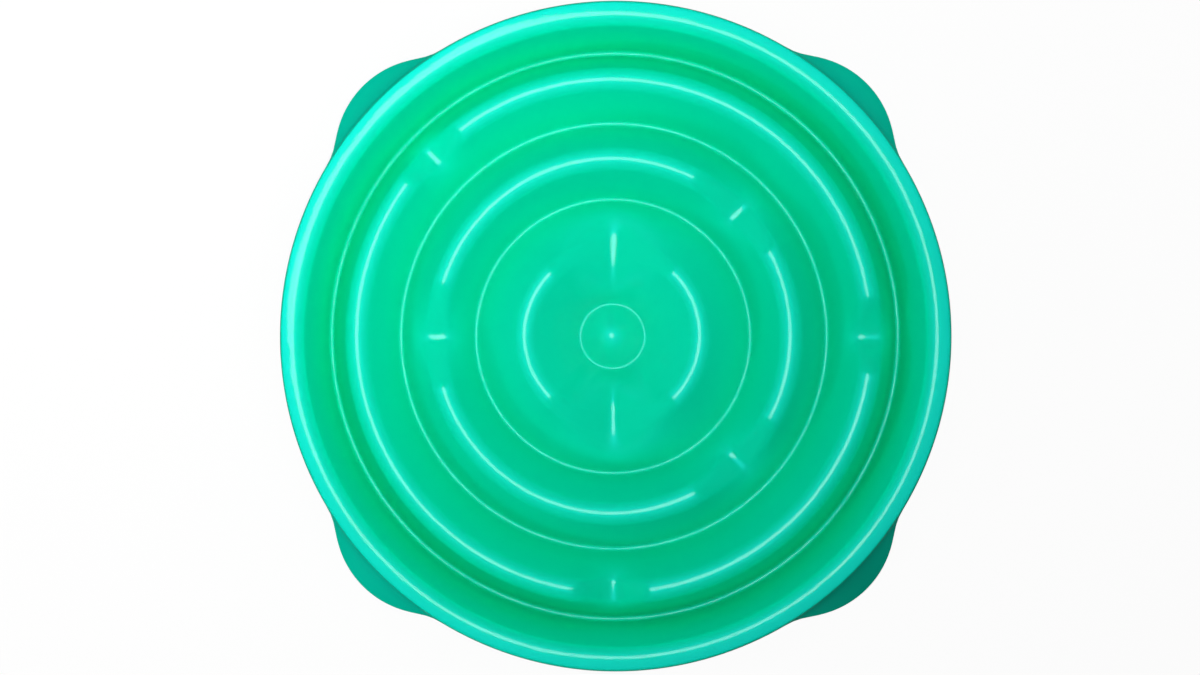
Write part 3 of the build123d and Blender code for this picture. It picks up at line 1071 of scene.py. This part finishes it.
def stand_card(studio):
    """Upright black card that faces the bowl, keeps light off its near side and is not seen itself."""
    material, _, shader = new_material("dark_card")
    shader.inputs["Base Color"].default_value = BLACK
    shader.inputs["Specular IOR Level"].default_value = 0.0
    half = studio.card_width / 2
    top = studio.card_height
    corners = [(-half, 0.0, 0.0), (half, 0.0, 0.0), (half, 0.0, top), (-half, 0.0, top)]
    card = plate("dark_card", corners, material)
    card.location = CARD_PLACE
    card.rotation_euler.z = math.atan2(CARD_PLACE[1], CARD_PLACE[0]) + math.pi / 2
    card.visible_camera = False
    card.visible_glossy = False
    return card


def hang_lamp(name, lamp):
    """Square lamp that points at its target and is not seen itself."""
    data = bpy.data.lights.new(name, "AREA")
    data.shape = "RECTANGLE"
    data.size = lamp.side
    data.size_y = lamp.side
    data.energy = lamp.power
    data.spread = math.radians(lamp.beam)
    hung = bpy.data.objects.new(name, data)
    bpy.context.scene.collection.objects.link(hung)
    hung.location = lamp.place
    aim = Vector(lamp.target) - hung.location
    hung.rotation_euler = aim.to_track_quat("-Z", "Y").to_euler()
    hung.visible_camera = False
    return hung


def studio_world(studio):
    """Even white surroundings, weaker in the gloss."""
    world = bpy.data.worlds.new("studio_world")
    world.use_nodes = True
    tree = world.node_tree
    tree.nodes.clear()
    glossy = Field(tree, tree.nodes.new("ShaderNodeLightPath").outputs["Is Glossy Ray"])
    sky = add_node(tree, "ShaderNodeBackground", {"Color": WHITE})
    level = spread(tree, glossy, 0.0, 1.0, studio.sky, studio.sky * studio.gloss_sky)
    feed(tree, sky.inputs["Strength"], level)
    feed(tree, tree.nodes.new("ShaderNodeOutputWorld").inputs["Surface"], sky.outputs[0])
    return world


def set_camera(studio, bowl):
    """Camera above the bowl, turned a little and shifted back to frame the rim."""
    data = bpy.data.cameras.new("camera")
    camera = bpy.data.objects.new("camera", data)
    bpy.context.scene.collection.objects.link(camera)
    camera.location = (0.0, 0.0, studio.camera_height)
    camera.rotation_euler.y = studio.camera_tilt
    distance = studio.camera_height - bowl.height
    picture = PHOTO_WIDTH * bowl.rim_radius / studio.rim_pixels
    data.sensor_width = SENSOR_WIDTH
    data.lens = SENSOR_WIDTH * distance / picture
    turned_away = math.tan(studio.camera_tilt) * distance / picture
    data.shift_x = turned_away - studio.aside_pixels / PHOTO_WIDTH
    data.shift_y = -studio.above_pixels / PHOTO_WIDTH
    return camera


class FEEDER_OT_set_studio(bpy.types.Operator):
    """Set the floor, the lamps, the surroundings and the camera above the bowl"""

    bl_idname = "feeder.set_studio"
    bl_label = "Set Studio"

    def execute(self, context):
        scene = context.scene
        studio = scene.feeder_studio
        lay_floor(studio)
        stand_card(studio)
        for name, lamp in SOFT_LAMPS.items():
            hang_lamp(name, lamp).visible_glossy = False
        hang_lamp("top_lamp", SHINE_LAMP).visible_diffuse = False
        scene.world = studio_world(studio)
        scene.camera = set_camera(studio, scene.feeder_bowl)
        scene.view_settings.view_transform = "Standard"
        return {"FINISHED"}


class FEEDER_PT_panel(bpy.types.Panel):
    """Sizes, finishes and steps of the feeder bowl"""

    bl_idname = "FEEDER_PT_panel"
    bl_label = "Feeder Bowl"
    bl_space_type = "VIEW_3D"
    bl_region_type = "UI"
    bl_category = "Feeder"

    def draw(self, context):
        layout = self.layout
        for operator in OPERATORS:
            layout.operator(operator.bl_idname)
        for group in SCENE_GROUPS:
            box = layout.box()
            settings = getattr(context.scene, group)
            for key in settings.bl_rna.properties.keys():
                if key not in ("rna_type", "name"):
                    box.prop(settings, key)


OPERATORS = (FEEDER_OT_mould_bowl, FEEDER_OT_press_feet, FEEDER_OT_set_studio)
SCENE_GROUPS = {
    "feeder_bowl": BowlSizes,
    "feeder_feet": FootSizes,
    "feeder_finishes": Finishes,
    "feeder_studio": StudioSetup,
}


def register():
    """Add the settings, the steps and the panel."""
    for cls in (*SCENE_GROUPS.values(), *OPERATORS, FEEDER_PT_panel):
        bpy.utils.register_class(cls)
    for key, cls in SCENE_GROUPS.items():
        setattr(bpy.types.Scene, key, bpy.props.PointerProperty(type=cls))


def unregister():
    """Take them away again."""
    for key in SCENE_GROUPS:
        delattr(bpy.types.Scene, key)
    for cls in (FEEDER_PT_panel, *reversed(OPERATORS), *SCENE_GROUPS.values()):
        bpy.utils.unregister_class(cls)


def main():
    """Build the whole scene."""
    register()
    bpy.ops.feeder.mould_bowl()
    bpy.ops.feeder.press_feet()
    bpy.ops.feeder.set_studio()


if __name__ == "__main__":
    main()
